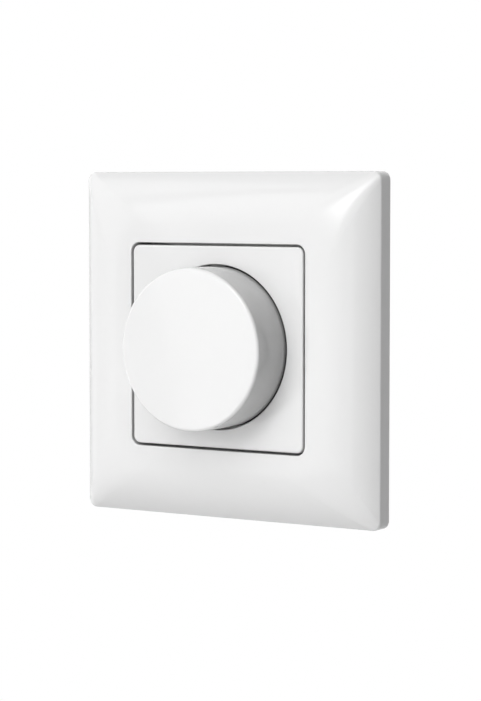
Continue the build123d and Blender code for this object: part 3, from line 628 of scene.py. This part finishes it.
class DimmerStage(bpy.types.PropertyGroup):
    """Camera and light."""

    lens: FloatProperty(
        name="Lens",
        description="Focal length over a 36 mm long side",
        unit="CAMERA",
        default=124.0,
    )
    azimuth: FloatProperty(
        name="Azimuth",
        description="Camera's turn to the right",
        unit="ROTATION",
        default=math.radians(32.772),
    )
    elevation: FloatProperty(
        name="Elevation",
        description="Camera's rise",
        unit="ROTATION",
        default=math.radians(3.874),
    )
    distance: FloatProperty(
        name="Distance",
        description="Camera to target",
        unit="LENGTH",
        default=0.60084,
    )
    lamp_level: FloatProperty(
        name="Lamps",
        description="Brightness of all softboxes",
        default=1.03,
    )
    backdrop_level: FloatProperty(
        name="Backdrop",
        description="Light from behind the part",
        default=0.65,
    )


class Softbox(NamedTuple):
    """A rectangular lamp, with its place and size as angles in degrees, seen from the part.

    The soft edge is a share of its sides. A lamp shows in gloss, lights matt surfaces, or does both.
    """

    name: str
    azimuth: float
    elevation: float
    width: float
    height: float
    level: float
    soft_edge: float = 0.0
    roll: float = 0.0
    in_gloss: bool = False
    in_matt: bool = True


# Two lamps in exactly one place lose light, so the key's matt half is set off a little from its panel
SOFTBOXES = (
    Softbox("key_panel", -4.0, 20.0, 65.2, 68.7, 1.0, in_gloss=True, in_matt=False),
    Softbox("key_softbox", -4.0, 20.5, 64.0, 66.0, 0.52),
    Softbox("left_panel", -78.0, 10.0, 71.0, 84.0, 0.7, roll=23.4, in_gloss=True, in_matt=False),
    Softbox("glint_strip", 2.0, 29.0, 66.0, 26.0, 2.9, soft_edge=0.35, roll=45.0, in_gloss=True),
    Softbox("glint_softbox", -4.0, 23.0, 40.0, 24.0, 1.5, soft_edge=0.45, roll=45.0, in_gloss=True),
    Softbox("rim_softbox", 46.0, -2.0, 76.0, 60.0, 1.0, soft_edge=0.45, in_gloss=True, in_matt=False),
    Softbox("high_softbox", -4.0, 38.0, 40.0, 28.0, 0.95),
    Softbox("front_softbox", -4.0, 5.0, 40.0, 30.0, 1.3),
    Softbox("low_softbox", -6.0, -28.0, 40.0, 28.0, 0.9),
    Softbox("left_softbox", -55.0, 10.0, 40.0, 70.0, 0.22),
    Softbox("low_left_softbox", -40.0, -30.0, 30.0, 36.0, 0.65),
    Softbox("low_right_softbox", 34.0, -24.0, 30.0, 36.0, 1.1),
    Softbox("top_softbox", -14.0, 70.0, 60.0, 30.0, 1.7),
    Softbox("rear_softbox", 190.0, 20.0, 50.0, 40.0, 1.0),
)


# Operators, in the order in which the part goes together


class DIMMER_OT_front(bpy.types.Operator):
    """White mouldings: cover frame, centre plate and knob"""

    bl_idname = "dimmer.front"
    bl_label = "White mouldings"

    def execute(self, context):
        dress("cover_frame", "centre_plate", "knob")
        return {"FINISHED"}


class DIMMER_OT_carrier(bpy.types.Operator):
    """Strap, casing and their screws"""

    bl_idname = "dimmer.carrier"
    bl_label = "Strap and casing"

    def execute(self, context):
        dress("mounting_strap", "strap_screws", "front_cover", "rear_housing", "housing_screws")
        return {"FINISHED"}


class DIMMER_OT_control(bpy.types.Operator):
    """Potentiometer, shaft, nut and clip"""

    bl_idname = "dimmer.control"
    bl_label = "Control"

    def execute(self, context):
        dress("pot_bush", "pot_case", "pot_track", "pot_pins", "pot_rotor", "pot_wiper")
        dress("control_shaft", "plate_nut", "knob_clip")
        return {"FINISHED"}


class DIMMER_OT_switch(bpy.types.Operator):
    """Push switch, without its spring"""

    bl_idname = "dimmer.switch"
    bl_label = "Push switch"

    def execute(self, context):
        dress("switch_case", "switch_base", "switch_plunger", "switch_bridge", "switch_contacts")
        return {"FINISHED"}


class DIMMER_OT_spring(bpy.types.Operator):
    """Return spring of round wire"""

    bl_idname = "dimmer.spring"
    bl_label = "Return spring"

    points_per_turn = 28
    # How far the end turns close up, where 0 leaves an even pitch
    closing = 0.45

    def execute(self, context):
        wire = context.scene.dimmer_wire
        low, high = (Vector(corner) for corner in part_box("return_spring"))
        mesh = bmesh.new()
        add_wire(mesh, self.helix(wire, low, high), wire.spring_wire / 2)
        spring = piece_from_bmesh("spring_coil", mesh, "plated_steel", "housing")
        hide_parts("return_spring")
        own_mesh(spring)
        return {"FINISHED"}

    def helix(self, wire, low, high):
        """Points along the wire's middle, from the rear end of the spring's box to its front end."""
        radius = wire.spring_wire / 2
        ring = (high.x - low.x) / 2 - radius
        start = high.y - radius
        end = low.y + radius
        count = int(wire.spring_turns * self.points_per_turn)
        points = []
        for index in range(count + 1):
            share = index / count
            eased = share * share * (3 - 2 * share)
            rise = share + (eased - share) * self.closing
            along = start + (end - start) * rise
            turn = math.tau * wire.spring_turns * share
            points.append(Vector((ring * math.cos(turn), along, ring * math.sin(turn))))
        return points


class DIMMER_OT_board(bpy.types.Operator):
    """Circuit board and the parts that stand on it, without the choke's winding"""

    bl_idname = "dimmer.board"
    bl_label = "Board parts"

    def execute(self, context):
        dress("circuit_board", "triac", "triac_pad", "triac_rivet", "film_capacitor", "timing_capacitor")
        dress("trigger_diode", "fuse_tube", "fuse_caps", "choke_core")
        return {"FINISHED"}


class DIMMER_OT_winding(bpy.types.Operator):
    """Choke winding of round enamelled wire: two strands, one round each half of the core"""

    bl_idname = "dimmer.winding"
    bl_label = "Choke winding"

    wire_sides = 10
    points_per_turn = 32
    # Power of the sine that leads a turn round the core: 1 is round, and less is squarer
    squareness = 0.35
    # Radians by which the last turn stops short, where the wire leaves for its lead
    early_end = 0.6
    # From the core's middle to the lead of each strand
    strand_offset = 0.0002

    def execute(self, context):
        wire = context.scene.dimmer_wire
        mesh = bmesh.new()
        for side in (-1, 1):
            add_wire(mesh, self.strand(wire, side), wire.winding_wire / 2, self.wire_sides)
        coil = piece_from_bmesh("winding_coil", mesh, "copper_wire", "housing")
        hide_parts("choke_winding")
        return {"FINISHED"}

    def strand(self, wire, side):
        """Points from one lead, turn by turn round half of the core, to the other lead."""
        radius = wire.winding_wire / 2
        core = middle("choke_core")
        size = extent("choke_core")
        ring = (size.x / 2 + wire.core_hole / 2) / 2
        half_width = (size.x / 2 - wire.core_hole / 2) / 2 + radius
        half_height = size.y / 2 + radius
        outer = ring + half_width
        lean = radius / outer
        turns = wire.winding_turns / 2
        count = int(turns * self.points_per_turn)
        points = []
        for index in range(count + 1):
            share = index / count
            round_ring = math.pi / 2 + side * (lean + (math.pi - 2 * lean) * share)
            round_core = (math.tau * turns - self.early_end) * share
            reach = self.rounded(math.cos(round_core)) * half_width
            rise = self.rounded(math.sin(round_core)) * half_height
            outward = Vector((math.cos(round_ring), 0, math.sin(round_ring)))
            points.append(core + outward * (ring + reach) + Vector((0, rise, 0)))
        lead_x = core.x - side * self.strand_offset
        lead_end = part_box("choke_winding")[0][1]
        board_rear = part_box("circuit_board")[1][1]
        first = Vector((lead_x, lead_end, core.z + outer))
        bend = Vector((lead_x, board_rear + radius, core.z - outer))
        last = Vector((lead_x, lead_end, core.z - outer))
        return [first, *points, bend, last]

    def rounded(self, value):
        """A cosine or sine drawn out towards a square path with round corners."""
        return math.copysign(abs(value) ** self.squareness, value)


class DIMMER_OT_solder(bpy.types.Operator):
    """Solder joints round the leads on the front of the board"""

    bl_idname = "dimmer.solder"
    bl_label = "Solder joints"

    lead_radius = 0.0004
    # The joint's flank as shares of its foot and height, and its neck as shares of the lead and height
    flank = (0.75, 0.2)
    neck = (1.5, 0.6)
    # A part with two leads, the direction in which they lie apart, and their pitch
    lead_rows = (
        ("film_capacitor", (0, 0, 1), 0.01),
        ("timing_capacitor", (1, 0, 0), 0.005),
        ("trigger_diode", (1, 0, 0), 0.0084),
        ("fuse_caps", (0, 0, 1), 0.0106),
        ("choke_winding", (0, 0, 1), 0.0132),
    )

    def execute(self, context):
        wire = context.scene.dimmer_wire
        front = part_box("circuit_board")[0][1]
        profile = self.profile(wire.solder_radius, wire.solder_height)
        mesh = bmesh.new()
        for x, z in self.leads():
            add_turned(mesh, profile, Vector((x, front, z)), Vector((0, -1, 0)))
        piece_from_bmesh("solder_joints", mesh, "solder", "housing")
        return {"FINISHED"}

    def profile(self, foot, top):
        """Outline of a joint, as (radius, height) pairs from the board up to the lead."""
        flank_width, flank_height = self.flank
        neck_width, neck_height = self.neck
        return [
            (foot, 0.0),
            (foot * flank_width, top * flank_height),
            (self.lead_radius * neck_width, top * neck_height),
            (self.lead_radius, top),
        ]

    def leads(self):
        """Where the leads come through the board."""
        places = []
        for node, along, pitch in self.lead_rows:
            for side in (-1, 1):
                place = middle(node) + Vector(along) * (side * pitch / 2)
                places.append((place.x, place.z))
        return places


class DIMMER_OT_terminals(bpy.types.Operator):
    """Terminal block, cages and clamp screws"""

    bl_idname = "dimmer.terminals"
    bl_label = "Terminals"

    def execute(self, context):
        dress("terminal_block", "terminal_cages", "clamp_screws")
        return {"FINISHED"}


class DIMMER_OT_stage(bpy.types.Operator):
    """Camera, softboxes, backdrop light and floor"""

    bl_idname = "dimmer.stage"
    bl_label = "Stage"

    # What the camera looks at, its sensor's long side in millimetres, and its nearest view
    target = Vector((0.000536, 0.0, -0.001368))
    sensor = 36.0
    near_view = 0.01
    lamp_distance = 1.2
    floor_level = -0.25
    floor_radius = 0.6
    floor_sides = 96
    floor_roughness = 0.8
    # The floor fades into the background from this share of its radius outwards
    floor_fade = 0.3
    # How much the camera sees the floor whiter than it is lit
    floor_paleness = 0.6

    def execute(self, context):
        scene = context.scene
        stage = scene.dimmer_stage
        scene.view_settings.view_transform = "Standard"
        self.add_camera(scene, stage)
        self.add_world(scene, stage)
        for box in SOFTBOXES:
            self.add_softbox(scene, box, stage.lamp_level)
        self.add_floor(scene)
        return {"FINISHED"}

    def direction(self, azimuth, elevation):
        """A unit vector, with azimuth counted from the front to the right."""
        flat = math.cos(elevation)
        return Vector((math.sin(azimuth) * flat, -math.cos(azimuth) * flat, math.sin(elevation)))

    def aim(self, thing, away, roll=0.0):
        """Turns a camera or a lamp that stands away from the part to look back at it."""
        level = (-away).to_track_quat("-Z", "Y")
        thing.rotation_euler = (level @ Quaternion((0.0, 0.0, 1.0), roll)).to_euler()

    def add_camera(self, scene, stage):
        """The camera at the photograph's viewing angle."""
        data = bpy.data.cameras.new("camera")
        data.lens = stage.lens
        data.sensor_width = self.sensor
        data.clip_start = self.near_view
        camera = bpy.data.objects.new("camera", data)
        away = self.direction(stage.azimuth, stage.elevation)
        camera.location = self.target + away * stage.distance
        self.aim(camera, away)
        scene.collection.objects.link(camera)
        scene.camera = camera

    def add_softbox(self, scene, box, lamp_level):
        """One lamp, as bright all over as its level, whatever its size."""
        away = self.direction(math.radians(box.azimuth), math.radians(box.elevation))
        data = bpy.data.lights.new(box.name, "AREA")
        data.shape = "RECTANGLE"
        data.size = 2 * self.lamp_distance * math.tan(math.radians(box.width / 2))
        data.size_y = 2 * self.lamp_distance * math.tan(math.radians(box.height / 2))
        data.energy = lamp_level * box.level * math.pi * data.size * data.size_y
        if box.soft_edge:
            self.soften(data, box.soft_edge)
        lamp = bpy.data.objects.new(box.name, data)
        lamp.location = away * self.lamp_distance
        lamp.visible_glossy = box.in_gloss
        lamp.visible_diffuse = box.in_matt
        self.aim(lamp, away, math.radians(box.roll))
        scene.collection.objects.link(lamp)

    def soften(self, data, soft_edge):
        """Lets a lamp fade out towards its edges, over a share of its width and height."""
        data.use_nodes = True
        tree = data.node_tree
        add = tree.nodes.new
        link = tree.links.new
        split = add("ShaderNodeSeparateXYZ")
        link(add("ShaderNodeTexCoord").outputs["UV"], split.inputs["Vector"])
        half_side = 0.5
        fades = []
        for axis in ("X", "Y"):
            from_middle = add("ShaderNodeMath")
            from_middle.operation = "SUBTRACT"
            from_middle.inputs[1].default_value = half_side
            link(split.outputs[axis], from_middle.inputs[0])
            distance = add("ShaderNodeMath")
            distance.operation = "ABSOLUTE"
            link(from_middle.outputs["Value"], distance.inputs[0])
            fade = add("ShaderNodeMapRange")
            fade.interpolation_type = "SMOOTHSTEP"
            fade.inputs["From Min"].default_value = half_side - soft_edge
            fade.inputs["From Max"].default_value = half_side
            fade.inputs["To Min"].default_value = 1.0
            fade.inputs["To Max"].default_value = 0.0
            link(distance.outputs["Value"], fade.inputs["Value"])
            fades.append(fade.outputs["Result"])
        both = add("ShaderNodeMath")
        both.operation = "MULTIPLY"
        for index, fade in enumerate(fades):
            link(fade, both.inputs[index])
        emission = next(node for node in tree.nodes if node.type == "EMISSION")
        link(both.outputs["Value"], emission.inputs["Strength"])

    def add_world(self, scene, stage):
        """White to the camera, to gloss and to glass; for the rest a backdrop's light from behind."""
        world = bpy.data.worlds.new("studio")
        world.use_nodes = True
        scene.world = world
        tree = world.node_tree
        tree.nodes.clear()
        add = tree.nodes.new
        link = tree.links.new
        output = add("ShaderNodeOutputWorld")
        chooser = add("ShaderNodeMixShader")
        white = add("ShaderNodeBackground")
        white.inputs["Color"].default_value = (*WHITE, 1.0)
        white.inputs["Strength"].default_value = 1.0
        fill = add("ShaderNodeBackground")
        fill.inputs["Color"].default_value = (*WHITE, 1.0)
        path = add("ShaderNodeLightPath")
        seen = path.outputs["Is Camera Ray"]
        for ray in ("Is Glossy Ray", "Is Transmission Ray"):
            either = add("ShaderNodeMath")
            either.operation = "MAXIMUM"
            link(seen, either.inputs[0])
            link(path.outputs[ray], either.inputs[1])
            seen = either.outputs["Value"]
        split = add("ShaderNodeSeparateXYZ")
        link(add("ShaderNodeTexCoord").outputs["Generated"], split.inputs["Vector"])
        behind = add("ShaderNodeMapRange")
        behind.inputs["To Max"].default_value = stage.backdrop_level
        link(split.outputs["Y"], behind.inputs["Value"])
        link(behind.outputs["Result"], fill.inputs["Strength"])
        link(seen, chooser.inputs["Fac"])
        link(fill.outputs["Background"], chooser.inputs[1])
        link(white.outputs["Background"], chooser.inputs[2])
        link(chooser.outputs["Shader"], output.inputs["Surface"])

    def add_floor(self, scene):
        """A pale round floor below the part, out of the photograph's view."""
        mesh = bmesh.new()
        bmesh.ops.create_circle(mesh, cap_ends=True, segments=self.floor_sides, radius=self.floor_radius)
        data = bpy.data.meshes.new("floor")
        mesh.to_mesh(data)
        mesh.free()
        floor = bpy.data.objects.new("floor", data)
        floor.location = (0.0, 0.0, self.floor_level)
        scene.collection.objects.link(floor)
        data.materials.append(self.floor_paint())

    def floor_paint(self):
        """Pale paint that fades into the white background, and looks paler than it is lit."""
        finish = Finish("floor_paint")
        finish.tint(finish.noise(scale=8.0), WHITE, dark=0.84, light=0.86)
        finish.gloss(finish.noise(scale=60.0), self.floor_roughness, below=0.05, above=0.05)
        distance = finish.add("ShaderNodeVectorMath")
        distance.operation = "LENGTH"
        finish.link(finish.place, distance.inputs[0])
        from_centre = distance.outputs["Value"]
        fade_start = self.floor_radius * self.floor_fade
        fade = finish.spread(from_centre, low=0.0, high=1.0, start=fade_start, end=self.floor_radius)
        seen = finish.add("ShaderNodeLightPath").outputs["Is Camera Ray"]
        paleness = finish.spread(seen, low=0.0, high=self.floor_paleness, start=0.0, end=1.0)
        white = finish.add("ShaderNodeEmission")
        white.inputs["Color"].default_value = (*WHITE, 1.0)
        paler = finish.add("ShaderNodeMixShader")
        finish.link(paleness, paler.inputs["Fac"])
        finish.link(finish.shader.outputs["BSDF"], paler.inputs[1])
        finish.link(white.outputs["Emission"], paler.inputs[2])
        faded = finish.add("ShaderNodeMixShader")
        finish.link(fade, faded.inputs["Fac"])
        finish.link(paler.outputs["Shader"], faded.inputs[1])
        finish.link(finish.add("ShaderNodeBsdfTransparent").outputs["BSDF"], faded.inputs[2])
        finish.link(faded.outputs["Shader"], finish.output.inputs["Surface"])
        return finish.material


class DIMMER_PT_panel(bpy.types.Panel):
    """Lists the steps that dress the dimmer"""

    bl_idname = "DIMMER_PT_panel"
    bl_label = "Dimmer"
    bl_space_type = "VIEW_3D"
    bl_region_type = "UI"
    bl_category = "Dimmer"

    def draw(self, context):
        for step in STEPS:
            self.layout.operator(step.bl_idname)


STEPS = (
    DIMMER_OT_front,
    DIMMER_OT_carrier,
    DIMMER_OT_control,
    DIMMER_OT_switch,
    DIMMER_OT_spring,
    DIMMER_OT_board,
    DIMMER_OT_winding,
    DIMMER_OT_solder,
    DIMMER_OT_terminals,
    DIMMER_OT_stage,
)
SETTINGS = {"dimmer_look": DimmerLook, "dimmer_wire": DimmerWire, "dimmer_stage": DimmerStage}
CLASSES = (*SETTINGS.values(), *STEPS, DIMMER_PT_panel)


def register():
    """Registers the classes and gives every scene its settings."""
    for cls in CLASSES:
        bpy.utils.register_class(cls)
    for name, group in SETTINGS.items():
        setattr(bpy.types.Scene, name, PointerProperty(type=group))


def unregister():
    """Takes the settings and the classes away again."""
    for name in SETTINGS:
        delattr(bpy.types.Scene, name)
    for cls in reversed(CLASSES):
        bpy.utils.unregister_class(cls)


def main():
    """Dresses the part and sets the stage, step by step."""
    register()
    bpy.ops.dimmer.front()
    bpy.ops.dimmer.carrier()
    bpy.ops.dimmer.control()
    bpy.ops.dimmer.switch()
    bpy.ops.dimmer.spring()
    bpy.ops.dimmer.board()
    bpy.ops.dimmer.winding()
    bpy.ops.dimmer.solder()
    bpy.ops.dimmer.terminals()
    bpy.ops.dimmer.stage()


if __name__ == "__main__":
    main()
